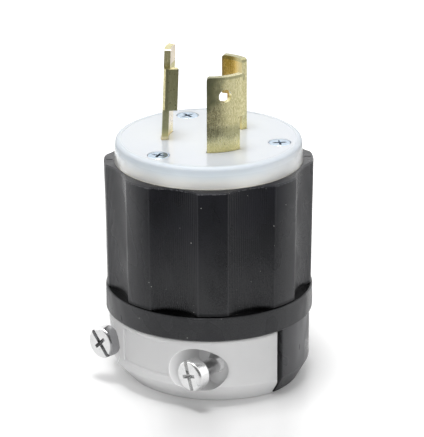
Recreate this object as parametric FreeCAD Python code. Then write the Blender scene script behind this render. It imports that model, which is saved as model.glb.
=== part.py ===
import FreeCAD
import Part
import math
import os

# Locking plug, standing on its cord clamp.
# Millimetres. +Z runs up through the blades, z = 0 is the surface it stands on,
# and the clamp screws point to -Y. Azimuths are in degrees from +X, seen from above.

Vector = FreeCAD.Vector
ORIGIN = Vector(0, 0, 0)
X_AXIS = Vector(1, 0, 0)
Y_AXIS = Vector(0, 1, 0)
Z_AXIS = Vector(0, 0, 1)

# Fits
slip_gap = 0.20            # between a moulded spigot and its bore
thread_gap = 0.02          # between a screw and the thread that holds it
slot_gap = 0.15            # around a blade in its slot
slide_gap = 0.25           # between the moving jaw and the collar above it
cutter_margin = 1.0        # how far a cut runs past the face that it opens

# Collar of the rear housing. The radii of all the outer pieces follow from its radius.
collar_radius = 25.0
collar_height = 6.0
collar_bevel = 0.3
floor_thickness = 2.5
cord_hole_step = 0.5       # cord hole beyond the channel
spigot_height = 3.3
spigot_wall = 2.1
boss_wall = 1.0            # around an insert

# Cord clamp, both halves
clamp_setback = 0.7        # inside the collar
clamp_height = 17.2
clamp_bevel_height = 4.65  # long bevel round the foot of the fixed half
clamp_bevel_width = 2.6
clamp_foot_edge = 0.6      # rounding between the bevel and the underside
fixed_corner = 0.3         # rounding of the ends of the fixed half
jaw_corner = 1.0           # rounding of the ends of the jaw
jaw_top_edge = 0.6         # rounding of the jaw's upper edge
jaw_toe_setback = 2.2      # underside of the jaw inside its outer side, at the ends
jaw_toe_shift = 3.0        # and this much further in at the front
jaw_toe_level = 7.6        # height at which the two are level with each other
jaw_toe_flare = 1.85       # reach of the toe cone beyond the jaw at that height
fixed_face_y = -0.5        # parting face of the fixed half
jaw_face_y = -1.6          # parting face of the jaw
channel_radius = 8.5       # cord channel between the halves
grip_rib_height = 1.0
grip_rib_width = 1.6
grip_rib_margin = 3.4      # lowest and highest ridge from the ends of the clamp

# Screw pockets and name panel of the jaw
pocket_gap = 1.87          # around the head
pocket_depth = 11.8        # floor of the pockets behind the front of the jaw
panel_start = 255.1        # azimuths of the panel's two sides
panel_angle = 33.8
panel_drop = 1.3           # below the top of the clamp
panel_height = 8.7
panel_depth = 0.5
panel_draft = 0.5

# Clamp screws, backed out and each sagging or rising a little in its nut
clamp_screw_share = 0.57   # distance from the middle as a share of the clamp's radius
clamp_screw_drop = 7.8     # below the top of the clamp
clamp_head_radius = 3.83
clamp_head_height = 3.1
clamp_head_edge = 0.6
clamp_shank_radius = 1.82
clamp_thread_radius = 2.05
clamp_thread_length = 9.5
jaw_hole_gap = 0.45        # around the thread
housing_hole_gap = 0.25
right_backed_out = 6.65    # from the floor of the pocket to the head
left_backed_out = 8.36
thread_reserve = 0.24      # left screw past its nut
right_head_rise = -1.58    # degrees, turned about the middle of the nut
left_head_rise = 1.29
right_slot_angle = 106.0
left_slot_angle = 133.0
slot_width = 1.1
slot_depth = 0.8

# Square nuts of the clamp screws
nut_width = 8.73
nut_thickness = 3.0
nut_setback = 3.3          # middle of the nut behind the parting face
tip_clearance = 1.6        # past the end of a screw that is driven home

# Fluted shell
shell_height = 31.3
shell_wall = 2.0           # under the deepest part of a flute
shell_setback = 0.35       # foot of the lands inside the collar
shell_flare = 0.45         # how much the lands widen upwards
land_count = 8
land_angle = 16.6
flute_depth_bottom = 2.15
flute_depth_top = 1.9
shell_bevel = 0.3
shadow_gap = 0.3           # open line between collar and shell
shadow_gap_depth = 0.65
mark_azimuths = (45.0, 225.0)
mark_setback = 0.55        # inside the lands
mark_length = 1.65
mark_width = 0.4
mark_depth = 0.25

# Face plate
face_setback = 0.55        # inside the flutes
face_draft = 0.35
face_height = 5.33
face_edge = 0.9
face_rim_width = 1.4
face_rim_step = 0.12
face_spigot_height = 3.0

# Terminal block
block_height = 21.5
well_width = 10.6
well_height = 11.4
well_below_top = 3.6
well_back_gap = 0.7        # behind the tabs
wire_hole_radius = 1.7

# Assembly screws and their inserts
assembly_azimuths = (270.0, 30.0, 150.0)
assembly_inset = 3.0       # inside the outer side of the spigots
assembly_head_radius = 2.62
assembly_head_height = 1.9
assembly_head_sink = 0.15
assembly_shank_radius = 1.75
assembly_reach = 4.12      # length of the screw in its insert
counterbore_gap = 0.1
insert_wall = 0.65
insert_length = 7.0

# Blades
blade_outer_radius = 11.25
blade_thickness = 1.5
blade_corner = 0.7
notch_height = 8.0
notch_angle = 8.2          # overhang of the locking lugs
neutral_blade_azimuth = 310.7
neutral_blade_angle = 43.1 # at the base, without the locking lug
neutral_blade_height = 18.3
line_blade_azimuth = 78.0
line_blade_angle = 27.2    # at the base, without the locking lug
line_blade_height = 17.6
hole_radius = 1.6
hole_height = 13.6
hole_offset_angle = 22.9
ground_blade_azimuth = 195.0
ground_blade_angle = 36.8
ground_blade_height = 22.0
ground_lean = 2.3
ground_foot_step = 0.04    # the straight foot is this much thicker than the leaning part
hook_low = 7.4
hook_high = 17.7
hook_angle = 4.2
hook_reach = 3.35          # from the outer side of the blade in to the end of the hook
hook_bend = 1.1
hook_setback_angle = 6.0

# Terminals
tab_width = 8.4
tab_foot = 1.0
tab_setback = 0.45         # flat tab behind the outer side of the curved blade
terminal_shank_radius = 2.0
terminal_head_radius = 3.7
terminal_head_height = 2.2
terminal_tip = 0.5         # screw end past the tab
wire_clamp_width = 8.6
wire_clamp_thickness = 1.2
wire_space = 3.5
wire_groove_radius = 1.4

# Radii that follow from the sizes above
clamp_radius = collar_radius - clamp_setback
land_radius_bottom = collar_radius - shell_setback
land_radius_top = land_radius_bottom + shell_flare
flute_radius_bottom = land_radius_bottom - flute_depth_bottom
flute_radius_top = land_radius_top - flute_depth_top
shell_bore_radius = flute_radius_bottom - shell_wall
spigot_radius = shell_bore_radius - slip_gap
mark_outer_radius = land_radius_top - mark_setback
mark_inner_radius = mark_outer_radius - mark_length
face_radius_bottom = flute_radius_top - face_setback
face_radius_top = face_radius_bottom - face_draft
face_rim_radius = face_radius_top - face_rim_width
cord_hole_radius = channel_radius + cord_hole_step
pocket_radius = clamp_head_radius + pocket_gap
jaw_hole_radius = clamp_thread_radius + jaw_hole_gap
housing_hole_radius = clamp_thread_radius + housing_hole_gap
assembly_circle_radius = spigot_radius - assembly_inset
assembly_hole_radius = assembly_shank_radius + slip_gap
counterbore_radius = assembly_head_radius + counterbore_gap
insert_radius = assembly_shank_radius + insert_wall
boss_radius = insert_radius + boss_wall
blade_inner_radius = blade_outer_radius - blade_thickness
hook_inner_radius = blade_outer_radius - hook_reach
tab_inner_radius = blade_inner_radius - tab_setback
tab_outer_radius = blade_outer_radius - tab_setback
well_inner_radius = tab_inner_radius - well_back_gap
wire_clamp_inner_radius = tab_outer_radius + wire_space
terminal_head_inner_radius = wire_clamp_inner_radius + wire_clamp_thickness

# Levels that follow
collar_top_z = clamp_height + collar_height
shell_top_z = collar_top_z + shell_height
face_top_z = shell_top_z + face_height
block_top_z = shell_top_z - face_spigot_height
block_bottom_z = block_top_z - block_height
housing_floor_z = clamp_height + floor_thickness
well_top_z = block_top_z - well_below_top
well_bottom_z = well_top_z - well_height
terminal_z = (well_top_z + well_bottom_z) / 2
assembly_seat_z = face_top_z - assembly_head_sink - assembly_head_height
assembly_shank_length = assembly_seat_z - block_bottom_z + assembly_reach
clamp_screw_z = clamp_height - clamp_screw_drop
panel_top_z = clamp_height - panel_drop
panel_bottom_z = panel_top_z - panel_height
grip_rib_pitch = (clamp_height - 2 * grip_rib_margin) / 4
fixed_rib_levels = [grip_rib_margin + step * grip_rib_pitch for step in (0, 2, 4)]
jaw_rib_levels = [grip_rib_margin + step * grip_rib_pitch for step in (1, 3)]

# Clamp screws: places that follow
clamp_screw_x = clamp_screw_share * clamp_radius
channel_y = (fixed_face_y + jaw_face_y) / 2
pocket_floor_y = pocket_depth - clamp_radius
nut_centre_y = fixed_face_y + nut_setback
right_head_reach = nut_centre_y - pocket_floor_y + right_backed_out + clamp_head_height
left_head_reach = nut_centre_y - pocket_floor_y + left_backed_out + clamp_head_height
clamp_shank_length = left_head_reach - clamp_head_height + nut_thickness / 2 + thread_reserve
tip_hole_end_y = pocket_floor_y + clamp_shank_length + tip_clearance


def polar(radius, azimuth, z=0.0):
    """Point at a radius and an azimuth in degrees."""
    angle = math.radians(azimuth)
    return Vector(radius * math.cos(angle), radius * math.sin(angle), z)


def cylinder(radius, low_z, high_z, x=0.0, y=0.0):
    return Part.makeCylinder(radius, high_z - low_z, Vector(x, y, low_z))


def cylinder_along_y(radius, low_y, high_y, x, z):
    return Part.makeCylinder(radius, high_y - low_y, Vector(x, low_y, z), Y_AXIS)


def sector(inner_radius, outer_radius, low_z, high_z, start, angle):
    """Part of a tube between two radii, from the start azimuth over an angle."""
    corners = [Vector(inner_radius, 0, low_z), Vector(outer_radius, 0, low_z),
               Vector(outer_radius, 0, high_z), Vector(inner_radius, 0, high_z)]
    section = Part.Face(Part.makePolygon(corners + corners[:1]))
    piece = section.revolve(ORIGIN, Z_AXIS, angle)
    piece.rotate(ORIGIN, Z_AXIS, start)
    return piece


def radial_box(azimuth, inner_radius, outer_radius, width, low_z, high_z):
    """Box that runs out along an azimuth, centred on it."""
    corner = Vector(inner_radius, -width / 2, low_z)
    piece = Part.makeBox(outer_radius - inner_radius, width, high_z - low_z, corner)
    piece.rotate(ORIGIN, Z_AXIS, azimuth)
    return piece


def radial_cylinder(azimuth, radius, inner_radius, outer_radius, z):
    piece = Part.makeCylinder(radius, outer_radius - inner_radius, Vector(inner_radius, 0, z), X_AXIS)
    piece.rotate(ORIGIN, Z_AXIS, azimuth)
    return piece


def edges_where(shape, test):
    return [edge for edge in shape.Edges if test(edge)]


def is_straight(edge):
    return isinstance(edge.Curve, Part.Line)


def ends_at_level(edge, z):
    return all(abs(vertex.Z - z) < 0.001 for vertex in edge.Vertexes)


def rectangle(length, width, z):
    """Closed wire of a rectangle centred on the Z axis."""
    half_l = length / 2
    half_w = width / 2
    corners = [Vector(-half_l, -half_w, z), Vector(half_l, -half_w, z),
               Vector(half_l, half_w, z), Vector(-half_l, half_w, z)]
    return Part.makePolygon(corners + corners[:1])


def cross_recess(length, width, depth):
    """Two crossed wings that narrow towards the point, cut down from z = 0."""
    wings = []
    for turn in (0, 90):
        wing = Part.makeLoft([rectangle(length, width, 0), rectangle(0.3 * length, 0.6 * width, -depth)],
                             True, True)
        wing.rotate(ORIGIN, Z_AXIS, turn)
        wings.append(wing)
    return wings[0].fuse(wings[1])


def make_screw(head_radius, head_height, shank_radius, thread_radius, thread_length, shank_length,
               head_edge, has_slot):
    """Screw with the outer face of its head at z = 0 and its threaded end pointing down."""
    head = cylinder(head_radius, -head_height, 0)
    head = head.makeFillet(head_edge, edges_where(head, lambda edge: ends_at_level(edge, 0)
                                                  and not is_straight(edge)))
    tip_level = -head_height - shank_length
    thread = cylinder(thread_radius, tip_level, tip_level + thread_length)
    thread = thread.makeChamfer(0.25 * thread_radius,
                                edges_where(thread, lambda edge: ends_at_level(edge, tip_level)
                                            and not is_straight(edge)))
    screw = head.fuse([cylinder(shank_radius, tip_level + thread_length / 2, -head_height), thread])
    screw = screw.cut(cross_recess(head_radius, 0.23 * head_radius, 0.5 * head_height))
    if has_slot:
        slot = Part.makeBox(2 * head_radius + 2 * cutter_margin, slot_width, slot_depth,
                            Vector(-head_radius - cutter_margin, -slot_width / 2, -slot_depth))
        screw = screw.cut(slot)
    return screw.removeSplitter()


def fixed_drum():
    """Round foot of the plug, bevelled below."""
    profile = [Vector(0, 0, 0), Vector(clamp_radius - clamp_bevel_width, 0, 0),
               Vector(clamp_radius, 0, clamp_bevel_height), Vector(clamp_radius, 0, clamp_height),
               Vector(0, 0, clamp_height)]
    drum = Part.Face(Part.makePolygon(profile + profile[:1])).revolve(ORIGIN, Z_AXIS, 360)
    return drum.makeFillet(clamp_foot_edge, edges_where(drum, lambda edge: ends_at_level(edge, 0)
                                                        and not is_straight(edge)))


def circle_wire(radius, y, z):
    return Part.Wire(Part.Circle(Vector(0, y, z), Z_AXIS, radius).toShape())


def jaw_drum(top_z):
    """Round drum with a soft upper edge, drawn in at its foot by a leaning cone."""
    drum = cylinder(clamp_radius, 0, top_z)
    drum = drum.makeFillet(jaw_top_edge, edges_where(drum, lambda edge: ends_at_level(edge, top_z)
                                                     and not is_straight(edge)))
    toe = Part.makeLoft([circle_wire(clamp_radius - jaw_toe_setback, jaw_toe_shift, 0),
                         circle_wire(clamp_radius + jaw_toe_flare, 0, jaw_toe_level)], True, True)
    toe = toe.makeFillet(clamp_foot_edge, edges_where(toe, lambda edge: ends_at_level(edge, 0)
                                                      and not is_straight(edge)))
    toe = toe.fuse(cylinder(clamp_radius + jaw_toe_flare, jaw_toe_level, top_z + cutter_margin))
    return drum.common(toe)


def clamp_half(drum, face_y, side, top_z, end_corner):
    """Half of a drum beyond a parting face, with rounded ends.

    side is +1 for the half towards +Y and -1 for the half towards -Y.
    """
    centre_y = face_y + side * end_corner
    centre_x = math.sqrt((clamp_radius - end_corner) ** 2 - centre_y ** 2)
    out = Vector(centre_x, centre_y, 0).normalize()
    middle = (out - Vector(0, side, 0)).normalize()
    right = [Vector(centre_x, face_y, 0),
             Vector(centre_x, centre_y, 0) + middle * end_corner,
             out * clamp_radius]
    left = [Vector(-point.x, point.y, 0) for point in right]
    outline = Part.Wire([
        Part.makeLine(left[0], right[0]),
        Part.Arc(right[0], right[1], right[2]).toShape(),
        Part.Arc(right[2], Vector(0, side * clamp_radius, 0), left[2]).toShape(),
        Part.Arc(left[2], left[1], left[0]).toShape(),
    ])
    block = Part.Face(outline).extrude(Vector(0, 0, top_z))
    return block.common(drum)


def grip_ribs(levels, face_y, side, top_z):
    """Ridges around the cord channel of one half."""
    ribs = []
    for level in levels:
        ring = cylinder(channel_radius + cutter_margin, level - grip_rib_width / 2,
                        level + grip_rib_width / 2, 0, channel_y)
        crest = channel_radius - grip_rib_height
        bore = cylinder(crest, level - grip_rib_width, level + grip_rib_width, 0, channel_y)
        ribs.append(ring.cut(bore))
    region = Part.makeBox(2 * clamp_radius, clamp_radius, top_z, Vector(-clamp_radius, 0, 0))
    if side < 0:
        region.rotate(ORIGIN, Z_AXIS, 180)
    region.translate(Vector(0, face_y, 0))
    return [rib.common(region) for rib in ribs]


def panel_recess():
    """Cutter of the name panel: a ring section that narrows towards its floor."""
    slope = panel_draft / panel_depth * cutter_margin
    floor_radius = clamp_radius - panel_depth
    far_radius = clamp_radius + cutter_margin
    corners = [Vector(floor_radius, 0, panel_bottom_z + panel_draft),
               Vector(far_radius, 0, panel_bottom_z - slope),
               Vector(far_radius, 0, panel_top_z + slope),
               Vector(floor_radius, 0, panel_top_z - panel_draft)]
    section = Part.Face(Part.makePolygon(corners + corners[:1]))
    recess = section.revolve(ORIGIN, Z_AXIS, panel_angle)
    recess.rotate(ORIGIN, Z_AXIS, panel_start)
    return recess


def make_clamp_jaw():
    """Loose half of the cord clamp: channel, two screw pockets and a sunk panel."""
    top_z = clamp_height - slide_gap
    jaw = clamp_half(jaw_drum(top_z), jaw_face_y, -1, top_z, jaw_corner)
    jaw = jaw.cut(cylinder(channel_radius, -cutter_margin, top_z + cutter_margin, 0, channel_y))
    for rib in grip_ribs(jaw_rib_levels, jaw_face_y, -1, top_z):
        jaw = jaw.fuse(rib)
    for x in (-clamp_screw_x, clamp_screw_x):
        jaw = jaw.cut(cylinder_along_y(pocket_radius, -clamp_radius - cutter_margin, pocket_floor_y,
                                       x, clamp_screw_z))
        jaw = jaw.cut(cylinder_along_y(jaw_hole_radius, -clamp_radius, cutter_margin, x, clamp_screw_z))
    jaw = jaw.cut(panel_recess())
    return jaw.removeSplitter()


def make_rear_housing():
    """Collar, fixed half of the clamp, spigot for the shell and three insert bosses."""
    housing = clamp_half(fixed_drum(), fixed_face_y, 1, clamp_height, fixed_corner)
    housing = housing.cut(cylinder(channel_radius, -cutter_margin, clamp_height, 0, channel_y))
    for rib in grip_ribs(fixed_rib_levels, fixed_face_y, 1, clamp_height):
        housing = housing.fuse(rib)
    collar = cylinder(collar_radius, clamp_height, collar_top_z)
    collar = collar.makeChamfer(collar_bevel, edges_where(collar, lambda edge: not is_straight(edge)))
    collar = collar.fuse(cylinder(spigot_radius, collar_top_z, collar_top_z + spigot_height))
    chamber = cylinder(spigot_radius - spigot_wall, housing_floor_z,
                       collar_top_z + spigot_height + cutter_margin)
    collar = collar.cut(chamber)
    for azimuth in assembly_azimuths:
        centre = polar(assembly_circle_radius, azimuth)
        collar = collar.fuse(cylinder(boss_radius, clamp_height, block_bottom_z, centre.x, centre.y)
                             .common(cylinder(spigot_radius, clamp_height, block_bottom_z)))
    collar = collar.cut(cylinder(cord_hole_radius, clamp_height - cutter_margin,
                                 housing_floor_z + cutter_margin))
    housing = housing.fuse(collar)
    for azimuth in assembly_azimuths:
        centre = polar(assembly_circle_radius, azimuth)
        insert_bottom_z = block_bottom_z - insert_length
        housing = housing.cut(cylinder(insert_radius + thread_gap, insert_bottom_z,
                                       block_bottom_z + cutter_margin, centre.x, centre.y))
        housing = housing.cut(cylinder(assembly_hole_radius, housing_floor_z,
                                       insert_bottom_z, centre.x, centre.y))
    for x in (-clamp_screw_x, clamp_screw_x):
        housing = housing.cut(cylinder_along_y(housing_hole_radius, fixed_face_y - cutter_margin,
                                               tip_hole_end_y, x, clamp_screw_z))
        housing = housing.cut(nut_slot(x))
    return housing.removeSplitter()


def nut_slot(x):
    """Slot up from the foot that takes one square nut."""
    width = nut_width + 2 * slot_gap
    thickness = nut_thickness + 2 * slot_gap
    return Part.makeBox(width, thickness, clamp_screw_z + width / 2 + cutter_margin,
                        Vector(x - width / 2, nut_centre_y - thickness / 2, -cutter_margin))


def make_clamp_nut(x, head_rise):
    """Square nut on a clamp screw, square to the screw."""
    centre = Vector(x, nut_centre_y, clamp_screw_z)
    corner = centre - Vector(nut_width / 2, nut_thickness / 2, nut_width / 2)
    nut = Part.makeBox(nut_width, nut_thickness, nut_width, corner)
    nut = nut.cut(cylinder_along_y(clamp_thread_radius + thread_gap, centre.y - nut_thickness,
                                   centre.y + nut_thickness, centre.x, centre.z))
    nut.rotate(centre, X_AXIS, -head_rise)
    return nut


def make_clamp_screw(x, head_reach, head_rise, slot_angle):
    """Clamp screw with its head towards -Y, at its reach and rise from the nut."""
    screw = make_screw(clamp_head_radius, clamp_head_height, clamp_shank_radius, clamp_thread_radius,
                       clamp_thread_length, clamp_shank_length, clamp_head_edge, True)
    screw.rotate(ORIGIN, Z_AXIS, slot_angle)
    screw.rotate(ORIGIN, X_AXIS, 90)
    screw.translate(Vector(x, nut_centre_y - head_reach, clamp_screw_z))
    screw.rotate(Vector(x, nut_centre_y, clamp_screw_z), X_AXIS, -head_rise)
    return screw


def shell_outline(land_radius, flute_radius, z):
    """Closed wire of lands and concave flutes, one arc each."""
    pitch = 360.0 / land_count
    arcs = []
    for index in range(land_count):
        centre = index * pitch
        start = centre - land_angle / 2
        end = centre + land_angle / 2
        arcs.append(Part.Arc(polar(land_radius, start, z), polar(land_radius, centre, z),
                             polar(land_radius, end, z)).toShape())
        arcs.append(Part.Arc(polar(land_radius, end, z), polar(flute_radius, centre + pitch / 2, z),
                             polar(land_radius, start + pitch, z)).toShape())
    return Part.Wire(arcs)


def make_fluted_shell():
    """Tapered grip with flutes, a bevel round its top and two index marks."""
    outlines = [
        shell_outline(land_radius_bottom, flute_radius_bottom, collar_top_z),
        shell_outline(land_radius_top, flute_radius_top, shell_top_z - shell_bevel),
        shell_outline(land_radius_top - shell_bevel, flute_radius_top - shell_bevel, shell_top_z),
    ]
    shell = Part.makeLoft(outlines, True, True)
    shell = shell.cut(cylinder(shell_bore_radius, collar_top_z - cutter_margin, shell_top_z + cutter_margin))
    groove = cylinder(collar_radius + cutter_margin, collar_top_z - cutter_margin, collar_top_z + shadow_gap)
    groove = groove.cut(cylinder(land_radius_bottom - shadow_gap_depth, collar_top_z - cutter_margin,
                                 collar_top_z + shadow_gap))
    shell = shell.cut(groove)
    for azimuth in mark_azimuths:
        shell = shell.cut(radial_box(azimuth, mark_inner_radius, mark_outer_radius, mark_width,
                                     shell_top_z - mark_depth, shell_top_z + cutter_margin))
    return shell


def blade_slot(start, angle, low_z, high_z):
    """Room for a blade: its section with the slot gap all round."""
    extra = math.degrees(slot_gap / blade_inner_radius)
    return sector(blade_inner_radius - slot_gap, blade_outer_radius + slot_gap,
                  low_z, high_z, start - extra, angle + 2 * extra)


blade_bases = {
    "neutral": (neutral_blade_azimuth, neutral_blade_angle),
    "line": (line_blade_azimuth, line_blade_angle),
    "ground": (ground_blade_azimuth, ground_blade_angle),
}


def base_centre(name):
    start, angle = blade_bases[name]
    return start + angle / 2


def make_face_plate():
    """White face: drafted flange with a soft edge, a low rim and a spigot in the shell."""
    arc_centre = Vector(face_radius_top - face_edge, 0, face_top_z - face_edge)
    profile = [
        Vector(0, 0, block_top_z), Vector(spigot_radius, 0, block_top_z),
        Vector(spigot_radius, 0, shell_top_z), Vector(face_radius_bottom, 0, shell_top_z),
        Vector(face_radius_top, 0, arc_centre.z),
    ]
    edge_top = Vector(arc_centre.x, 0, face_top_z)
    arc_middle = arc_centre + Vector(1, 0, 1).normalize() * face_edge
    floor_z = face_top_z - face_rim_step
    inner = [edge_top, Vector(face_rim_radius, 0, face_top_z), Vector(face_rim_radius, 0, floor_z),
             Vector(0, 0, floor_z), Vector(0, 0, block_top_z)]
    edges = [Part.makeLine(a, b) for a, b in zip(profile, profile[1:])]
    edges.append(Part.Arc(profile[-1], arc_middle, edge_top).toShape())
    edges += [Part.makeLine(a, b) for a, b in zip(inner, inner[1:])]
    face = Part.Face(Part.Wire(edges)).revolve(ORIGIN, Z_AXIS, 360)
    for start, angle in blade_bases.values():
        face = face.cut(blade_slot(start, angle, block_top_z - cutter_margin, face_top_z + cutter_margin))
    for azimuth in assembly_azimuths:
        centre = polar(assembly_circle_radius, azimuth)
        face = face.cut(cylinder(counterbore_radius, assembly_seat_z, face_top_z + cutter_margin,
                                 centre.x, centre.y))
        face = face.cut(cylinder(assembly_hole_radius, block_top_z - cutter_margin, assembly_seat_z,
                                 centre.x, centre.y))
    return face


def make_terminal_block():
    """Block behind the face with three wiring wells, wire holes and screw holes."""
    block = cylinder(spigot_radius, block_bottom_z, block_top_z)
    for name in blade_bases:
        start, angle = blade_bases[name]
        azimuth = base_centre(name)
        block = block.cut(radial_box(azimuth, well_inner_radius, shell_bore_radius + cutter_margin,
                                     well_width, well_bottom_z, well_top_z))
        block = block.cut(blade_slot(start, angle, well_top_z - cutter_margin, block_top_z + cutter_margin))
        for side in (-1, 1):
            offset = side * (terminal_shank_radius + wire_hole_radius)
            wire_hole = cylinder(wire_hole_radius, block_bottom_z - cutter_margin,
                                 well_bottom_z + cutter_margin,
                                 tab_outer_radius + wire_space / 2, offset)
            wire_hole.rotate(ORIGIN, Z_AXIS, azimuth)
            block = block.cut(wire_hole)
    for azimuth in assembly_azimuths:
        centre = polar(assembly_circle_radius, azimuth)
        block = block.cut(cylinder(assembly_hole_radius, block_bottom_z - cutter_margin,
                                   block_top_z + cutter_margin, centre.x, centre.y))
    return block


def add_terminal(blade, name):
    """Flat tab at the foot of a blade, with the hole that its terminal screw threads into."""
    azimuth = base_centre(name)
    tab = radial_box(azimuth, tab_inner_radius, tab_outer_radius, tab_width,
                     well_bottom_z + tab_foot, well_top_z - tab_foot)
    blade = blade.fuse(tab)
    return blade.cut(radial_cylinder(azimuth, terminal_shank_radius + thread_gap,
                                     tab_inner_radius - 2 * cutter_margin,
                                     blade_outer_radius + cutter_margin, terminal_z))


def top_corner_edges(shape, top_z):
    return edges_where(shape, lambda edge: is_straight(edge) and ends_at_level(edge, top_z))


def make_locking_blade(name, height):
    """Curved blade whose end overhangs the face as a locking lug."""
    start, angle = blade_bases[name]
    top_z = face_top_z + height
    blade = sector(blade_inner_radius, blade_outer_radius, terminal_z, top_z, start, angle + notch_angle)
    blade = blade.makeFillet(blade_corner, top_corner_edges(blade, top_z))
    blade = blade.cut(sector(blade_inner_radius - cutter_margin, blade_outer_radius + cutter_margin,
                             terminal_z - cutter_margin, face_top_z + notch_height,
                             start + angle, 2 * notch_angle))
    if name == "neutral":
        blade = blade.cut(radial_cylinder(start + hole_offset_angle, hole_radius,
                                          blade_inner_radius - 2 * cutter_margin,
                                          blade_outer_radius + cutter_margin,
                                          face_top_z + hole_height))
    return add_terminal(blade, name)


def make_hook(end):
    """Edge of the ground blade, bent round and pointing at the plug's axis.

    The outline is drawn with its leg along +X, then turned to its azimuth.
    """
    centre_x = math.sqrt((blade_outer_radius - hook_bend) ** 2 - hook_bend ** 2)
    centre = Vector(centre_x, -hook_bend, 0)
    on_circle = Vector(centre).normalize() * blade_outer_radius
    middle = centre + (Vector(1, 0, 0) + Vector(0, 1, 0)).normalize() * hook_bend
    back = -hook_angle - 1
    inner_meet = Vector(math.sqrt(blade_inner_radius ** 2 - blade_thickness ** 2), -blade_thickness, 0)
    meet_azimuth = math.degrees(math.atan2(inner_meet.y, inner_meet.x))
    bend_azimuth = math.degrees(math.atan2(on_circle.y, on_circle.x))
    start = min(back, meet_azimuth, bend_azimuth) - 1
    outline = Part.Wire([
        Part.Arc(polar(blade_outer_radius, start), polar(blade_outer_radius, (start + bend_azimuth) / 2),
                 on_circle).toShape(),
        Part.Arc(on_circle, middle, Vector(centre_x, 0, 0)).toShape(),
        Part.makeLine(Vector(centre_x, 0, 0), Vector(hook_inner_radius, 0, 0)),
        Part.makeLine(Vector(hook_inner_radius, 0, 0), Vector(hook_inner_radius, -blade_thickness, 0)),
        Part.makeLine(Vector(hook_inner_radius, -blade_thickness, 0), inner_meet),
        Part.Arc(inner_meet, polar(blade_inner_radius, (start + meet_azimuth) / 2),
                 polar(blade_inner_radius, start)).toShape(),
        Part.makeLine(polar(blade_inner_radius, start), polar(blade_outer_radius, start)),
    ])
    hook = Part.Face(outline).extrude(Vector(0, 0, hook_high - hook_low))
    hook.translate(Vector(0, 0, face_top_z + hook_low))
    hook.rotate(ORIGIN, Z_AXIS, end + hook_angle)
    return hook


def make_ground_blade():
    """Tall curved blade with a hook bent inwards at one edge, leaning in above the face."""
    start, angle = blade_bases["ground"]
    end = start + angle
    top_z = face_top_z + ground_blade_height
    upper = sector(blade_inner_radius, blade_outer_radius, face_top_z - cutter_margin, top_z, start, angle)
    upper = upper.cut(sector(blade_inner_radius - cutter_margin, blade_outer_radius + cutter_margin,
                             face_top_z + hook_high, top_z + cutter_margin,
                             end - hook_setback_angle, 2 * hook_setback_angle))
    upper = upper.makeFillet(blade_corner, top_corner_edges(upper, top_z))
    upper = upper.fuse(make_hook(end))
    azimuth = base_centre("ground")
    upper.rotate(polar(tab_outer_radius, azimuth, face_top_z), polar(1, azimuth + 90), -ground_lean)
    below_face = cylinder(collar_radius, face_top_z - collar_radius, face_top_z)
    extra = math.degrees(ground_foot_step / blade_inner_radius)
    lower = sector(blade_inner_radius - ground_foot_step, blade_outer_radius + ground_foot_step,
                   terminal_z, face_top_z, start - extra, angle + 2 * extra)
    blade = lower.fuse(upper.cut(below_face))
    return add_terminal(blade, "ground")


def make_terminal_screw(name):
    """Binding screw that runs in along the azimuth of its well."""
    shank_length = terminal_head_inner_radius - tab_inner_radius + terminal_tip
    screw = make_screw(terminal_head_radius, terminal_head_height, terminal_shank_radius,
                       terminal_shank_radius, shank_length, shank_length, 0.4, True)
    screw.rotate(ORIGIN, Y_AXIS, 90)
    screw.translate(Vector(terminal_head_inner_radius + terminal_head_height, 0, terminal_z))
    screw.rotate(ORIGIN, Z_AXIS, base_centre(name))
    return screw


def make_wire_clamp(name):
    """Pressure plate under the terminal screw, grooved for a wire on each side."""
    azimuth = base_centre(name)
    half = wire_clamp_width / 2
    plate = radial_box(azimuth, wire_clamp_inner_radius, terminal_head_inner_radius,
                       wire_clamp_width, terminal_z - half, terminal_z + half)
    plate = plate.cut(radial_cylinder(azimuth, terminal_shank_radius + slot_gap,
                                      wire_clamp_inner_radius - cutter_margin,
                                      terminal_head_inner_radius + cutter_margin, terminal_z))
    for side in (-1, 1):
        groove = cylinder(wire_groove_radius, terminal_z - wire_clamp_width, terminal_z + wire_clamp_width,
                          wire_clamp_inner_radius - 0.6 * wire_groove_radius, side * 0.65 * half)
        groove.rotate(ORIGIN, Z_AXIS, azimuth)
        plate = plate.cut(groove)
    return plate


def make_assembly_screw(azimuth):
    """Long screw through face and block into its insert."""
    screw = make_screw(assembly_head_radius, assembly_head_height, assembly_shank_radius,
                       assembly_shank_radius, assembly_shank_length, assembly_shank_length, 0.4, False)
    screw.rotate(ORIGIN, Z_AXIS, azimuth + 20)
    centre = polar(assembly_circle_radius, azimuth, face_top_z - assembly_head_sink)
    screw.translate(centre)
    return screw


def make_threaded_insert(azimuth):
    """Flanged brass bush in a boss of the rear housing."""
    centre = polar(assembly_circle_radius, azimuth)
    low_z = block_bottom_z - insert_length
    insert = cylinder(insert_radius, low_z, block_bottom_z, centre.x, centre.y)
    return insert.cut(cylinder(assembly_shank_radius + thread_gap, low_z - cutter_margin,
                               block_bottom_z + cutter_margin, centre.x, centre.y))


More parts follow.
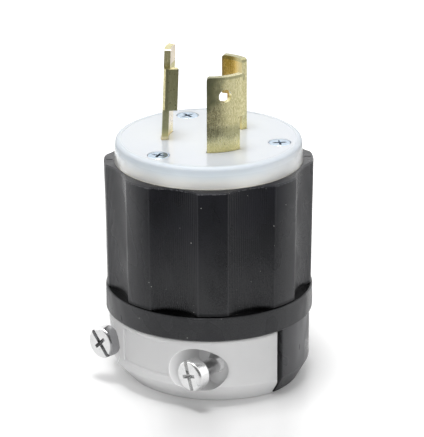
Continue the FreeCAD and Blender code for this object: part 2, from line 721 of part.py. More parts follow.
pieces = {
    "face_plate": make_face_plate(),
    "terminal_block": make_terminal_block(),
    "neutral_blade": make_locking_blade("neutral", neutral_blade_height),
    "line_blade": make_locking_blade("line", line_blade_height),
    "ground_blade": make_ground_blade(),
    "fluted_shell": make_fluted_shell(),
    "rear_housing": make_rear_housing(),
    "clamp_jaw": make_clamp_jaw(),
    "clamp_screw_left": make_clamp_screw(-clamp_screw_x, left_head_reach, left_head_rise, left_slot_angle),
    "clamp_screw_right": make_clamp_screw(clamp_screw_x, right_head_reach, right_head_rise, right_slot_angle),
    "clamp_nut_left": make_clamp_nut(-clamp_screw_x, left_head_rise),
    "clamp_nut_right": make_clamp_nut(clamp_screw_x, right_head_rise),
}
for blade_name in blade_bases:
    pieces["terminal_screw_" + blade_name] = make_terminal_screw(blade_name)
    pieces["wire_clamp_" + blade_name] = make_wire_clamp(blade_name)
for number, screw_azimuth in enumerate(assembly_azimuths, start=1):
    pieces["assembly_screw_%d" % number] = make_assembly_screw(screw_azimuth)
    pieces["threaded_insert_%d" % number] = make_threaded_insert(screw_azimuth)

os.makedirs("parts", exist_ok=True)
for node, shape in pieces.items():
    shape.exportStep("parts/" + node + ".step")
    print(node, "solids", len(shape.Solids), "valid", shape.isValid(), "volume", round(shape.Volume, 1))
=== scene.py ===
import math

import bpy
import numpy as np
from mathutils import Matrix, Vector


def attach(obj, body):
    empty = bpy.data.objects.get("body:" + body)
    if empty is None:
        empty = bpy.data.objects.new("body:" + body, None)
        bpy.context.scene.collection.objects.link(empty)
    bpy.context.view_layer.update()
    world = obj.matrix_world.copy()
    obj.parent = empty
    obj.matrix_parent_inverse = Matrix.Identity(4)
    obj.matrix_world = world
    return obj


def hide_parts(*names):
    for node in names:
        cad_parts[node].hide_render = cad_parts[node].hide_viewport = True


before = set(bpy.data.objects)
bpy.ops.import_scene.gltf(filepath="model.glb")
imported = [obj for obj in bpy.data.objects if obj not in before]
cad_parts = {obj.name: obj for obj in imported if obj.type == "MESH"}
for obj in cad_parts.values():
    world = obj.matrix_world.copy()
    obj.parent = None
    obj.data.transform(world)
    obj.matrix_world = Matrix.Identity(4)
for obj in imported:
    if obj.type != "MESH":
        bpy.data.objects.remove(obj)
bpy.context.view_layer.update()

MM = 0.001
VIEW_TURN = math.radians(42.8)
VIEW_TILT = math.radians(20.58)
PLUG_MIDDLE = Vector((0, 0, 0.04))

# Heights on the plug, in millimetres
COLLAR_FOOT = 17.2
COLLAR_TOP = 23.2
BEVEL_FOOT = 54.2
GRIP_TOP = 54.5


# Camera and lamps

def place_camera():
    """Camera at the photograph's viewpoint, looking a little down, with a slight roll."""
    roll = math.radians(-0.194)
    eye = Vector((480.02, -517.28, 303.97)) * MM
    forward = Vector((-math.sin(VIEW_TURN) * math.cos(VIEW_TILT),
                      math.cos(VIEW_TURN) * math.cos(VIEW_TILT), -math.sin(VIEW_TILT)))
    right = Vector((math.cos(VIEW_TURN), math.sin(VIEW_TURN), 0))
    up = right.cross(forward)
    rolled_right = right * math.cos(roll) + up * math.sin(roll)
    rolled_up = up * math.cos(roll) - right * math.sin(roll)
    turn = Matrix((rolled_right, rolled_up, -forward)).transposed().to_4x4()
    data = bpy.data.cameras.new("camera")
    data.sensor_width = 36
    data.lens = 257.77
    data.clip_start = 0.01
    data.clip_end = 20
    camera = bpy.data.objects.new("camera", data)
    camera.matrix_world = Matrix.Translation(eye) @ turn
    bpy.context.scene.collection.objects.link(camera)
    bpy.context.scene.camera = camera


def soft_box(name, position, size, power, mirrored):
    """Square soft lamp that faces the plug, seen in reflections or not."""
    data = bpy.data.lights.new(name, "AREA")
    data.shape = "SQUARE"
    data.size = size
    data.energy = power
    lamp = bpy.data.objects.new(name, data)
    lamp.location = position
    lamp.visible_glossy = mirrored
    direction = PLUG_MIDDLE - Vector(position)
    lamp.rotation_euler = direction.to_track_quat("-Z", "Y").to_euler()
    bpy.context.scene.collection.objects.link(lamp)


# Shader maths

class Wire:
    """A shader socket. Arithmetic and comparisons on it add Math nodes to its tree."""

    def __init__(self, socket):
        self.socket = socket

    def maths(self, operation, *operands):
        node = self.socket.id_data.nodes.new("ShaderNodeMath")
        node.operation = operation
        for place, operand in zip(node.inputs, operands):
            connect(place, operand)
        return Wire(node.outputs[0])

    def __add__(self, other):
        return self.maths("ADD", self, other)

    def __radd__(self, other):
        return self.maths("ADD", other, self)

    def __sub__(self, other):
        return self.maths("SUBTRACT", self, other)

    def __rsub__(self, other):
        return self.maths("SUBTRACT", other, self)

    def __mul__(self, other):
        return self.maths("MULTIPLY", self, other)

    def __rmul__(self, other):
        return self.maths("MULTIPLY", other, self)

    def __pow__(self, other):
        return self.maths("POWER", self, other)

    def __gt__(self, other):
        return self.maths("GREATER_THAN", self, other)

    def __lt__(self, other):
        return self.maths("LESS_THAN", self, other)

    def clamp(self):
        return self.maths("MINIMUM", self.maths("MAXIMUM", self, 0.0), 1.0)

    def magnitude(self):
        return self.maths("ABSOLUTE", self)


def connect(place, item):
    """Gives a socket a link or a plain value."""
    if isinstance(item, Wire):
        place.id_data.links.new(item.socket, place)
    else:
        place.default_value = item


def radius(a, b):
    return (a * a + b * b) ** 0.5


def sideways(x, y):
    """How far a place lies to the right of the plug's axis, seen from the front."""
    return x * math.cos(VIEW_TURN) + y * math.sin(VIEW_TURN)


def rgb(red, green, blue):
    return (red, green, blue, 1.0)


class Graph:
    """A node tree that is being filled."""

    def __init__(self, owner):
        owner.use_nodes = True
        self.owner = owner
        self.tree = owner.node_tree
        self.tree.nodes.clear()

    def add(self, kind, settings=None, ordered=(), out=0, **places):
        """Adds a node, sets its settings, then fills its sockets in order or by name.

        A name has underscores for spaces.
        """
        node = self.tree.nodes.new(kind)
        for key, value in (settings or {}).items():
            setattr(node, key, value)
        for place, item in zip(node.inputs, ordered):
            connect(place, item)
        for key, item in places.items():
            wanted = key.replace("_", " ")
            connect(next(s for s in node.inputs if s.enabled and s.name == wanted), item)
        if isinstance(out, str):
            return Wire(next(s for s in node.outputs if s.enabled and s.name == out))
        enabled = [s for s in node.outputs if s.enabled]
        return Wire(enabled[out]) if enabled else None

    def place(self):
        """Object coordinates in millimetres."""
        point = self.add("ShaderNodeTexCoord", out="Object")
        return self.add("ShaderNodeVectorMath", {"operation": "SCALE"}, Vector=point, Scale=1000.0)

    def facing(self):
        """The three parts of the direction that the surface faces."""
        return self.parts(self.add("ShaderNodeTexCoord", out="Normal"))

    def parts(self, point):
        node = self.add("ShaderNodeSeparateXYZ", Vector=point).socket.node
        return [Wire(s) for s in node.outputs]

    def join(self, x, y, z):
        return self.add("ShaderNodeCombineXYZ", X=x, Y=y, Z=z)

    def noise(self, point, scale, detail=3.0, roughness=0.5):
        return self.add("ShaderNodeTexNoise", Vector=point, Scale=scale, Detail=detail,
                        Roughness=roughness)

    def specks(self, point, scale, size, share):
        """Small round spots: one at most in each cell, in a given share of the cells."""
        near = self.add("ShaderNodeTexVoronoi", Vector=point, Scale=scale)
        chance = self.add("ShaderNodeTexVoronoi", out="Color", Vector=point, Scale=scale)
        return self.fall(near, 0.5 * size, size) * (self.parts(chance)[0] < share)

    def span(self, value, low, high, start=0.0, end=1.0):
        """Smooth change from start to end, while a value goes from low to high."""
        return self.add("ShaderNodeMapRange", {"interpolation_type": "SMOOTHSTEP"}, Value=value,
                        From_Min=low, From_Max=high, To_Min=start, To_Max=end)

    def fall(self, value, low, high):
        return self.span(value, low, high, 1.0, 0.0)

    def blend(self, factor, first, second):
        """Mix of two colours. The node itself keeps the factor between 0 and 1."""
        return self.add("ShaderNodeMix", {"data_type": "RGBA"}, Factor=factor, A=first, B=second)

    def paint(self, colour, *layers):
        """Colours laid over the first one, in turn, each through its own mask."""
        for mask, laid in layers:
            colour = self.blend(mask, colour, laid)
        return colour

    def bump(self, height, distance):
        return self.add("ShaderNodeBump", Height=height, Distance=distance * MM)

    def close(self, **places):
        """Ends the material in one Principled shader."""
        surface = self.add("ShaderNodeBsdfPrincipled", **places)
        self.add("ShaderNodeOutputMaterial", Surface=surface)
        return self.owner


def finish(name):
    return Graph(bpy.data.materials.new(name))


# Finishes

def moulded_black(name):
    """Charcoal nylon: satin, cloudy with handling, pale dust, thin scratches and scuffs, and
    painted highlights on the corners between lands and flutes.

    Painted reflection makes the grip darkest at its top and lighter lower down. A painted sheen
    lightens its left and right and the collar and housing, stronger on the right of the cord
    clamp.
    Painted shade keeps the ledge between collar and grip dark.
    """
    f = finish(name)
    point = f.place()
    x, y, z = f.parts(point)
    beside = sideways(x, y)
    cloud = f.noise(f.join(x + z * 0.3, y, z * 0.5), 0.14, 2.0)
    grain = f.noise(point, 4.0, 2.0)
    fine = f.noise(f.join(x * 3.0 + z * 0.7, y * 3.0, z * 0.35 - x * 0.2), 1.0, 2.0)
    scratch = f.fall((fine - 0.5).magnitude(), 0.0, 0.004) * f.span(cloud, 0.62, 0.72)
    corner = f.add("ShaderNodeAttribute", {"attribute_name": "corner"}, out="Fac")
    bevel = f.span((z - BEVEL_FOOT).magnitude(), 0.06, 0.18, 0.5, 0.0)
    # Scratches and scuffs, with a painted highlight on the rounded corners between lands and
    # flutes.
    rubs_and_corner_sheen = scratch * 0.15 + corner * 0.16 + bevel * f.span(f.noise(point, 1.8, 3.0), 0.5, 0.58)
    dust = f.specks(point, 0.33, 0.055, 0.35) + f.specks(point, 0.9, 0.08, 0.08)
    # Painted sheen: lighter bands on the left and right of the grip and round the collar and
    # housing.
    outer = f.fall(beside, -22.0, -12.0) + f.span(beside, 15.0, 22.0)
    side_sheen = outer * f.span(z, COLLAR_TOP - 1.2, COLLAR_TOP + 0.8, 0.6, 1.0)
    side_sheen = side_sheen + f.span(z, COLLAR_TOP - 0.6, COLLAR_TOP - 0.2, 0.3, 0.0)
    # Painted shade: the ledge between collar and grip is kept near black.
    ledge_shade = f.span(z, COLLAR_TOP - 0.25, COLLAR_TOP - 0.1)
    ledge_shade = ledge_shade * f.fall(z, COLLAR_TOP + 0.6, COLLAR_TOP + 1.2)
    # Painted sheen: the housing is lighter on the right of the cord clamp.
    clamp_right_sheen = f.span(beside, 16.0, 24.0) * f.fall(z, COLLAR_FOOT - 0.6, COLLAR_FOOT + 0.2)
    # Painted reflection: the grip's colour is darkest at its top and lighter lower down.
    low = f.fall(z, 26.0, 50.0)
    dark = f.blend(low, rgb(0.0005, 0.0005, 0.0015), rgb(0.010, 0.010, 0.0105))
    pale = f.blend(low, rgb(0.005, 0.005, 0.008), rgb(0.032, 0.032, 0.033))
    colour = f.paint(
        f.blend(f.span(cloud + (grain - 0.5) * 0.9, 0.3, 0.7), dark, pale),
        (side_sheen * (0.6 + grain * 0.8), rgb(0.055, 0.055, 0.057)),
        (ledge_shade, rgb(0.0005, 0.0005, 0.0005)),
        (clamp_right_sheen, rgb(0.14, 0.14, 0.145)),
        (rubs_and_corner_sheen, rgb(0.10, 0.10, 0.105)),
        (dust * 0.8, rgb(0.42, 0.42, 0.40)))
    roughness = f.span(cloud, 0.38, 0.62, 0.24, 0.48) + dust * 0.3
    return f.close(Base_Color=colour, Roughness=roughness, Specular_IOR_Level=0.33,
                   Specular_Tint=rgb(0.93, 0.95, 1.0), Normal=f.bump(grain, 0.012))


def moulded_white(name):
    """Milky nylon of the face: slightly blue above, with a painted cream highlight in the line
    where it meets the grip and a painted shade just above that line.

    Its rounded rim is duller and painted darker, and its right side is painted lighter.
    """
    f = finish(name)
    point = f.place()
    x, y, z = f.parts(point)
    cloud = f.noise(point, 0.09, 3.0)
    wave = f.noise(point, 0.3, 1.0)
    spots = f.specks(point, 0.5, 0.06, 0.12)
    top = f.span(z, 58.6, 59.4)
    # Painted shade: the rounded rim's colour is darkened to tone down its highlight; it is also
    # rougher.
    rim = f.span(radius(x, y), 20.6, 21.6) * f.span(z, 57.2, 58.8)
    # Painted light: the right side of the face is painted lighter.
    right_side_light = (1.0 - top) * f.span(sideways(x, y), 8.0, 20.0, 0.0, 0.7)
    # Painted shade: a darker band on the face just above the lip.
    above_lip_shade = f.span(z, GRIP_TOP + 0.4, GRIP_TOP + 2.1, 0.5, 0.0)
    # Painted highlight: a light cream line along the lip where the face meets the grip.
    lip_highlight = f.fall(z, GRIP_TOP + 0.2, GRIP_TOP + 0.5)
    side_height = f.span(z, GRIP_TOP + 1.1, GRIP_TOP + 3.7)
    colour = f.paint(
        f.blend(side_height, rgb(0.84, 0.85, 0.83), rgb(0.77, 0.83, 0.87)),
        (top, f.blend(cloud, rgb(0.71, 0.75, 0.80), rgb(0.75, 0.78, 0.82))),
        (rim * 0.6, rgb(0.62, 0.68, 0.73)),
        (right_side_light, rgb(0.93, 0.96, 0.98)),
        (above_lip_shade, rgb(0.72, 0.71, 0.67)),
        (lip_highlight, rgb(0.97, 0.95, 0.86)),
        (spots * 0.3, rgb(0.45, 0.45, 0.45)))
    return f.close(Base_Color=colour, Roughness=0.14 + cloud * 0.1 + rim * 0.3,
                   Normal=f.bump(wave, 0.02), Subsurface_Weight=0.5,
                   Subsurface_Radius=(1.0, 1.05, 1.15), Subsurface_Scale=0.0018,
                   Coat_Weight=0.35 - rim * 0.35, Coat_Roughness=0.08)


def moulded_grey(name):
    """Light grey nylon of the jaw: matt, with painted shade that darkens it toward the foot.

    A painted glow, standing for light that has gone through the nylon, shows faintly on the walls
    of both screw pockets and on the right of the right screw's hole. Painted shade darkens the
    right pocket deep inside, above its screw.
    """
    screw_x, screw_z, hole_radius = 13.851, 9.4, 2.6
    pocket_radius, pocket_floor, pocket_mouth, margin = 5.72, -12.5, -24.0, 0.05
    f = finish(name)
    point = f.place()
    x, y, z = f.parts(point)
    cloud = f.noise(point, 0.15, 4.0)
    grain = f.noise(point, 4.0, 2.0)
    spots = f.specks(point, 0.3, 0.07, 0.25)
    # Painted shade: the jaw darkens toward its foot.
    foot = f.fall(z, 0.0, 4.5)
    reach = radius(x.magnitude() - screw_x, z - screw_z)
    inside = (reach < pocket_radius + margin) * (y < pocket_floor + margin)
    deep = inside * (y > pocket_floor - 4.0)
    # Painted shade deep in the right pocket, above its screw.
    pocket_shade = deep * f.span(x - screw_x, -2.5, -1.0) * f.span(z - screw_z, 0.8, 2.0)
    # Painted glow, as emission: lights the pocket walls and the right of the right screw's hole,
    # standing for light through the nylon.
    in_hole = (y > pocket_floor + margin) * (reach < hole_radius) * (x > screw_x + 0.5)
    glow = inside * (f.span(y, pocket_mouth, pocket_floor, 0.22, 0.0) + (x < 0.0) * 0.12)
    colour = f.paint(
        f.blend(cloud, rgb(0.64, 0.64, 0.645), rgb(0.69, 0.69, 0.69)),
        (foot * 0.2, rgb(0.46, 0.46, 0.46)),
        (spots * 0.3, rgb(0.36, 0.35, 0.34)),
        (pocket_shade * 0.8, rgb(0.34, 0.34, 0.34)))
    shine = f.blend(glow + in_hole * 0.35, rgb(0, 0, 0), rgb(1, 1, 1))
    return f.close(Base_Color=colour, Roughness=0.40 + cloud * 0.14, Normal=f.bump(grain, 0.012),
                   Emission_Color=shine, Emission_Strength=1.0, Subsurface_Weight=0.6,
                   Subsurface_Radius=(1.0, 1.0, 1.0), Subsurface_Scale=0.0025)


def aged_brass(name):
    """Old blade brass, mottled, with yellow feet and dark upper edges.

    The wide blade has olive stains low down and olive tarnish, with painted shade that makes it
    darker to its left and top. The line blade is painted amber inside, darker to its right, as
    shade.
    The ground blade is painted pale inside as reflection, olive on its narrow front edge and on
    its hook, pitted there, and has a painted glint in a line at its foot. A distance across the
    face tells the three blades apart.
    """
    hook_foot, hook_top = 67.2, 77.5
    wide_rim_foot, line_rim_foot = 77.3, 76.4
    f = finish(name)
    point = f.place()
    x, y, z = f.parts(point)
    facing_x, facing_y, facing_z = f.facing()
    across = x * 0.466 + y * 0.885
    wide = across.magnitude() < 5.0
    line = across > 5.0
    ground = across < -5.0
    below_hook_top = f.fall(z, hook_top - 0.1, hook_top + 0.1)
    hook = ground * f.span(z, hook_foot - 0.1, hook_foot + 0.1) * below_hook_top

    cloud = f.noise(point, 0.22, 3.0, 0.6)
    mottle = f.noise(f.join(x, y, z * 0.6), 2.8, 4.0, 0.7)
    streak = f.noise(f.join(x * 3.5, y * 3.5, z * 0.35), 1.0, 4.0, 0.6)
    shade = f.span(mottle * 0.65 + streak * 0.35, 0.34, 0.66)
    # Painted shade: the wide blade's olive tarnish grows heavier to its left and top.
    shade_slope = (z - 70.0) * 0.06 - across * 0.13
    tarnish_and_shade = f.span(shade_slope + (cloud - 0.5) * 1.6 + (mottle - 0.5) * 0.7, 0.1, 0.9)
    low_patch = f.span((z - 64.5).magnitude() + cloud * 4.0, 2.5, 4.5, 0.5, 0.0)
    # Painted shade: the line blade's inner face is painted amber and darker to its right.
    amber = f.blend(f.span(x, -1.0, 1.4), rgb(0.72, 0.48, 0.13), rgb(0.40, 0.32, 0.15))
    # Painted reflection: the ground blade's inner faces are painted near white.
    pale = ground * (facing_x > 0.2) * (facing_y > 0.1) * (1.0 - hook)
    edge = ground * (facing_y < -0.4) * (1.0 - hook * (facing_x < 0.2))
    edge = edge * f.span(z, hook_top - 0.1, hook_top + 0.1, 1.0, 0.15)
    wide_rim = wide * f.span(z, wide_rim_foot, wide_rim_foot + 0.3) * (facing_z < 0.5)
    line_rim = line * f.span(z, line_rim_foot, line_rim_foot + 0.2)
    foot = f.fall(z + mottle * 2.0, 61.0, 64.0)
    # Painted highlight: a bright line at the ground blade's foot.
    glint = ground * f.span(z, 60.2, 60.7, 0.8, 0.0)
    pits = f.specks(point, 0.9, 0.2, 0.16) + f.specks(point, 1.5, 0.3, 0.45) * hook

    colour = f.paint(
        f.blend(shade, rgb(0.52, 0.48, 0.24), rgb(0.87, 0.81, 0.50)),
        (line * (facing_y < -0.8) * 0.8, amber),
        (pale * 0.85, rgb(0.97, 0.88, 0.78)),
        (edge * 0.75, rgb(0.22, 0.225, 0.13)),
        ((tarnish_and_shade + low_patch) * wide * 0.85, rgb(0.16, 0.175, 0.10)),
        ((wide_rim + line_rim) * 0.6, rgb(0.28, 0.28, 0.16)),
        (foot * 0.6, rgb(0.84, 0.74, 0.33)),
        (glint, rgb(1.0, 0.88, 0.58)),
        (pits * 0.6, rgb(0.05, 0.05, 0.03)))
    return f.close(Base_Color=colour, Metallic=1.0, Roughness=0.2 + shade * 0.1 + tarnish_and_shade * 0.1,
                   Normal=f.bump(mottle * 0.6 + streak * 0.4, 0.011))


def cross_shade(f, x, y, z, cloud):
    """Mask of painted shade in the recesses of the three face screws and along their crosses."""
    screw_circle, recess_top = 17.3, 59.4
    cross_turn, wing_length, wing_half = 20, 1.9, 0.5
    # Painted shade: everything below the top of the recess is darkened.
    recess_shade = f.span(z, recess_top - 0.1, recess_top + 0.1, 0.85, 0.0)
    for azimuth in (270, 30, 150):
        turn = math.radians(azimuth + cross_turn)
        from_x = x - screw_circle * math.cos(math.radians(azimuth))
        from_y = y - screw_circle * math.sin(math.radians(azimuth))
        along = from_x * math.cos(turn) + from_y * math.sin(turn)
        aside = from_y * math.cos(turn) - from_x * math.sin(turn)
        along = along.magnitude() + cloud * 0.6
        aside = aside.magnitude() + cloud * 0.3
        for length, width in ((along, aside), (aside, along)):
            wing = f.fall(length, wing_length - 0.2, wing_length + 0.2)
            recess_shade = recess_shade + wing * f.fall(width, wing_half - 0.1, wing_half + 0.1) * 0.8
    return recess_shade


def bright_plate(name, bright, dull, crosses=False, head_shade=0.0):
    """Plated or bare metal: fine turning lines and small dull patches.

    Painted shade darkens the face screws' crosses and the right of the left clamp screw's head.
    """
    f = finish(name)
    point = f.place()
    x, y, z = f.parts(point)
    cloud = f.noise(point, 0.5, 4.0)
    lines = f.noise(point, 7.0, 2.0)
    colour = f.blend(f.span(cloud, 0.5, 0.8), bright, dull)
    if head_shade:
        # Painted shade on the right of the left clamp screw's head.
        head_right_shade = (x < 0.0) * f.span(f.facing()[0], 0.2, 0.5)
        colour = f.blend(head_right_shade * head_shade, colour, rgb(0.3, 0.3, 0.31))
    if crosses:
        # Painted shade in the face screws' recesses and along their crosses.
        colour = f.blend(cross_shade(f, x, y, z, cloud), colour, rgb(0.06, 0.09, 0.13))
    return f.close(Base_Color=colour, Metallic=1.0, Roughness=0.18 + cloud * 0.14,
                   Normal=f.bump(lines, 0.0015))


def block_moulding(name):
    """Dark brown thermoset of the inner block, finely granular."""
    f = finish(name)
    grain = f.noise(f.place(), 2.5, 4.0)
    colour = f.blend(grain, rgb(0.035, 0.03, 0.026), rgb(0.065, 0.056, 0.05))
    return f.close(Base_Color=colour, Roughness=0.5 + grain * 0.15, Normal=f.bump(grain, 0.03))


def green_plate(name):
    """Green dyed screw, with worn lighter patches."""
    f = finish(name)
    cloud = f.noise(f.place(), 0.6, 4.0)
    colour = f.blend(f.span(cloud, 0.4, 0.75), rgb(0.02, 0.2, 0.07), rgb(0.14, 0.34, 0.18))
    return f.close(Base_Color=colour, Metallic=0.6, Roughness=0.32 + cloud * 0.1)


# Stage

def white_table():
    """White table top that keeps the plug's soft shadow.

    A painted shadow darkens the table close in front of and behind the plug. A glow seen by the
    camera, and far off in reflections, paints light over the shadow beside the plug and whitens
    the table further away. A grey part of the table in front of the plug, outside the picture,
    gives the grip something dark to reflect. It stops at the far right.
    """
    reach = 2.0
    corners = [(-reach, -reach, 0), (reach, -reach, 0), (reach, reach, 0), (-reach, reach, 0)]
    mesh = bpy.data.meshes.new("table")
    mesh.from_pydata(corners, [], [(0, 1, 2, 3)])
    table = bpy.data.objects.new("table", mesh)
    bpy.context.scene.collection.objects.link(table)
    f = finish("table_white")
    x, y = f.parts(f.place())[:2]
    ahead = x * math.sin(VIEW_TURN) - y * math.cos(VIEW_TURN)
    beside = sideways(x, y)
    away = radius(x, y)
    front = f.span(away, 80.0, 200.0) * f.span(ahead, 0.0, 60.0) * f.fall(beside, 95.0, 140.0)
    # Painted shadow: the table is darker close in front of and behind the plug.
    core_shadow = f.fall(away, 28.0, 60.0) * f.fall((beside + 3.0).magnitude(), 2.0, 11.0)
    colour = f.paint(rgb(0.9, 0.9, 0.9), (core_shadow * 0.4, rgb(0.6, 0.6, 0.6)),
                     (front, rgb(0.14, 0.14, 0.14)))
    surface = f.add("ShaderNodeBsdfPrincipled", Base_Color=colour, Roughness=0.3)
    seen = f.add("ShaderNodeLightPath", out="Is Camera Ray")
    mirrored = f.add("ShaderNodeLightPath", out="Is Glossy Ray") * f.fall(beside, -60.0, 60.0)
    mirrored = mirrored * f.span(away, 80.0, 160.0)
    # Painted light: a glow, stronger away from the plug and beside it, lightens the shadow there
    # and whitens the far table.
    lift = f.span(away, 28.0, 120.0, 0.0, 0.4) + f.span(beside, 10.0, 36.0, 0.0, 0.24)
    lift = lift + f.span(beside, -22.0, -8.0, 0.15, 0.0)
    light = f.blend((seen + mirrored * (1.0 - front)) * lift, rgb(0, 0, 0), rgb(1, 1, 1))
    glow = f.add("ShaderNodeEmission", Color=light)
    both = f.add("ShaderNodeAddShader", ordered=(surface, glow))
    f.add("ShaderNodeOutputMaterial", Surface=both)
    mesh.materials.append(f.owner)


def studio_world():
    """Pale room: white to the eye, even as light, and in reflections dark on the near side."""
    even = 0.22
    away = Vector((-math.sin(VIEW_TURN), math.cos(VIEW_TURN), 0))
    world = bpy.data.worlds.new("studio")
    w = Graph(world)
    eye = w.add("ShaderNodeLightPath", out="Is Camera Ray")
    mirrored = w.add("ShaderNodeLightPath", out="Is Glossy Ray")
    through = w.add("ShaderNodeLightPath", out="Is Transmission Ray")
    toward = w.add("ShaderNodeTexCoord", out="Generated")
    depth = w.add("ShaderNodeVectorMath", {"operation": "DOT_PRODUCT"}, (toward, away),
                  out="Value")
    mirror = w.span(depth, -0.7, 0.2, 0.2, 1.6) - w.span(depth, 0.6, 0.95, 0.0, 0.5)
    seen = (eye + through).clamp()
    strength = even + seen * (1.0 - even) + mirrored * (1.0 - seen) * (mirror - even)
    back = w.add("ShaderNodeBackground", Color=rgb(1, 1, 1), Strength=strength)
    w.add("ShaderNodeOutputWorld", Surface=back)
    bpy.context.scene.world = world


# Ribbed grip

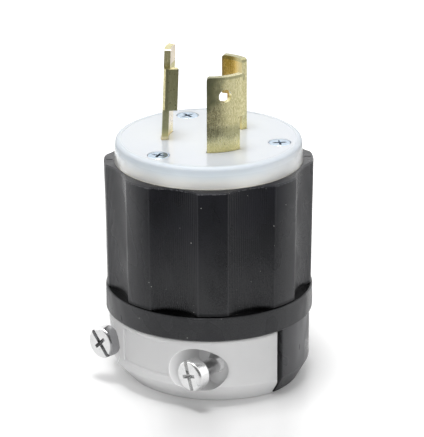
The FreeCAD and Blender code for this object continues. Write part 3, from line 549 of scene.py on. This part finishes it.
def ribbed_grip():
    """Fluted grip with fine upright ribs in its flutes, as one closed surface.

    Each flute is an arc through the ends of two lands and its own middle. Its ribs are a raised
    cosine across the arc. A short curve rounds each corner between land and flute. Rows run up the
    outside, in over the top with its two index marks, down the bore and out under the foot.
    """
    step_z, step_radius, bore = COLLAR_TOP + 0.3, 24.0, 20.5
    land_radius, land_flare, flute_radius, flute_flare, bevel = 24.65, 0.45, 22.5, 0.7, 0.3
    flutes, land_half = 8, math.radians(8.3)
    rib_count, rib_height, samples = 23, 0.07, 8
    corner_angle, corner_share = math.radians(0.55), 0.045
    mark_azimuth, mark_half, mark_depth = math.radians(45), math.radians(0.48), 0.25
    sharp_angle = math.radians(31)

    pitch = 2 * math.pi / flutes
    flute_half = pitch / 2 - land_half
    share = np.linspace(corner_share - 1, 1 - corner_share, rib_count * samples + 1)
    rib = 0.5 - 0.5 * np.cos(math.pi * rib_count * (share / (1 - corner_share) + 1))
    curve = np.array([0.25, 0.5, 0.75])
    mark_edge = mark_half + math.radians(1) * np.array([-0.004, 0.004])
    land = np.concatenate([[0.0], mark_edge, [land_half * 0.4, land_half * 0.7],
                           [land_half - corner_angle]])

    def section(lands, middles, height):
        """Columns of one pitch, from the middle of one land to the next, for rows of radii."""
        half = lands * math.sin(flute_half)
        rise = lands * math.cos(flute_half) - middles
        arc = (half ** 2 + rise ** 2) / (2 * rise)
        angle = share * np.arcsin(half / arc)
        flute = middles + arc - (arc - height * rib) * np.exp(-1j * angle)
        left = lands * np.exp(1j * (land - pitch / 2))
        sharp = lands * np.exp(-1j * flute_half)
        corner = (left[:, -1:] * (1 - curve) ** 2 + sharp * 2 * curve * (1 - curve)
                  + flute[:, :1] * curve ** 2)
        half_pitch = np.concatenate([left, corner], axis=1)
        return np.concatenate([half_pitch, flute, np.conj(half_pitch[:, :0:-1])], axis=1)

    levels = np.array([COLLAR_TOP, step_z, step_z, step_z + 0.35, BEVEL_FOOT - 0.6, BEVEL_FOOT,
                       GRIP_TOP])
    ribbed = np.array([0, 0, 0, 1, 1, 0, 0])[:, None] * rib_height
    flare = np.interp(levels, [COLLAR_TOP, BEVEL_FOOT], [0, 1])[:, None]
    inset = np.interp(levels, [BEVEL_FOOT, GRIP_TOP], [0, bevel])[:, None]
    wall = section(land_radius + land_flare * flare - inset,
                   flute_radius + flute_flare * flare - inset, ribbed)
    wall[:2] *= np.minimum(1, step_radius / np.abs(wall[:2]))
    rim = wall[-1:]
    rim_radius = land_radius + land_flare - bevel
    mark_rows = np.array([24.56, 24.54, 22.91, 22.89])
    inward = ((rim_radius - mark_rows) / (rim_radius - bore))[:, None]
    cover = rim * (1 - inward + inward * bore / np.abs(rim))
    inside = np.repeat(rim / np.abs(rim) * bore, 2, axis=0)
    rows = np.concatenate([wall, cover, inside])
    heights = np.concatenate([levels, np.full(len(mark_rows), GRIP_TOP), [GRIP_TOP, COLLAR_TOP]])

    turns = np.exp(1j * (np.arange(flutes) * pitch + pitch / 2))
    ring = (rows[:, None, :] * turns[None, :, None]).reshape(len(rows), -1)
    z = np.repeat(heights[:, None], ring.shape[1], axis=1)
    azimuth = np.angle(ring * np.exp(-1j * mark_azimuth))
    marked = np.minimum(np.abs(azimuth), math.pi - np.abs(azimuth)) < mark_half
    sunk = slice(len(levels) + 1, len(levels) + 3)
    z[sunk][marked[sunk]] -= mark_depth
    points = np.stack([ring.real, ring.imag, z], axis=-1).reshape(-1, 3) * MM
    index = np.arange(ring.size).reshape(ring.shape)
    right = np.roll(index, -1, axis=1)
    above = np.roll(index, -1, axis=0)
    faces = np.stack([index, right, np.roll(right, -1, axis=0), above], axis=-1).reshape(-1, 4)
    mesh = bpy.data.meshes.new("ribbed_grip")
    mesh.from_pydata(points, [], faces)
    mesh.polygons.foreach_set("use_smooth", np.ones(len(faces), dtype=bool))
    mesh.set_sharp_from_angle(angle=sharp_angle)

    near_corner = np.zeros(rows.shape[1])
    first = np.arange(len(land), len(land) + len(curve))
    near_corner[first] = 1
    near_corner[-first] = 1
    outside = np.zeros((len(rows), 1))
    outside[2:len(levels)] = 1
    # Marks the rounded corners, where the black finish paints a highlight.
    rubs_and_corner_sheen = (outside * np.tile(near_corner, flutes)).reshape(-1)
    mesh.attributes.new("corner", "FLOAT", "POINT").data.foreach_set("value", rubs_and_corner_sheen)
    grip = bpy.data.objects.new("ribbed_grip", mesh)
    bpy.context.scene.collection.objects.link(grip)
    return grip


def dress(node, material):
    """Gives a CAD node its finish."""
    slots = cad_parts[node].data.materials
    slots.clear()
    slots.append(material)


place_camera()
studio_world()
white_table()
soft_box("key", (-0.02, -0.05, 0.92), size=0.3, power=5.6, mirrored=True)
soft_box("fill", (0.68, -0.74, 0.4), size=0.7, power=5.6, mirrored=False)
bpy.context.scene.view_settings.view_transform = "Standard"

black = moulded_black("charcoal_nylon")
white = moulded_white("milky_nylon")
grey = moulded_grey("light_grey_nylon")
brass = aged_brass("aged_blade_brass")
bare_brass = bright_plate("turned_brass", rgb(0.72, 0.55, 0.25), rgb(0.52, 0.39, 0.17))
steel = bright_plate("bright_plating", rgb(0.80, 0.80, 0.80), rgb(0.64, 0.65, 0.66), head_shade=0.8)
zinc = bright_plate("blue_plating", rgb(0.55, 0.65, 0.75), rgb(0.34, 0.42, 0.50), crosses=True)
green = green_plate("green_dyed_steel")
block = block_moulding("brown_thermoset")

finishes = {
    "face_plate": white,
    "terminal_block": block,
    "neutral_blade": brass,
    "line_blade": brass,
    "ground_blade": brass,
    "fluted_shell": black,
    "rear_housing": black,
    "clamp_jaw": grey,
    "clamp_screw_left": steel,
    "clamp_screw_right": steel,
    "clamp_nut_left": steel,
    "clamp_nut_right": steel,
    "terminal_screw_neutral": steel,
    "terminal_screw_line": bare_brass,
    "terminal_screw_ground": green,
    "wire_clamp_neutral": steel,
    "wire_clamp_line": steel,
    "wire_clamp_ground": steel,
    "assembly_screw_1": zinc,
    "assembly_screw_2": zinc,
    "assembly_screw_3": zinc,
    "threaded_insert_1": bare_brass,
    "threaded_insert_2": bare_brass,
    "threaded_insert_3": bare_brass,
}
for node, material in finishes.items():
    dress(node, material)

grip = ribbed_grip()
grip.data.materials.append(black)
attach(grip, "plug_body")
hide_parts("fluted_shell")
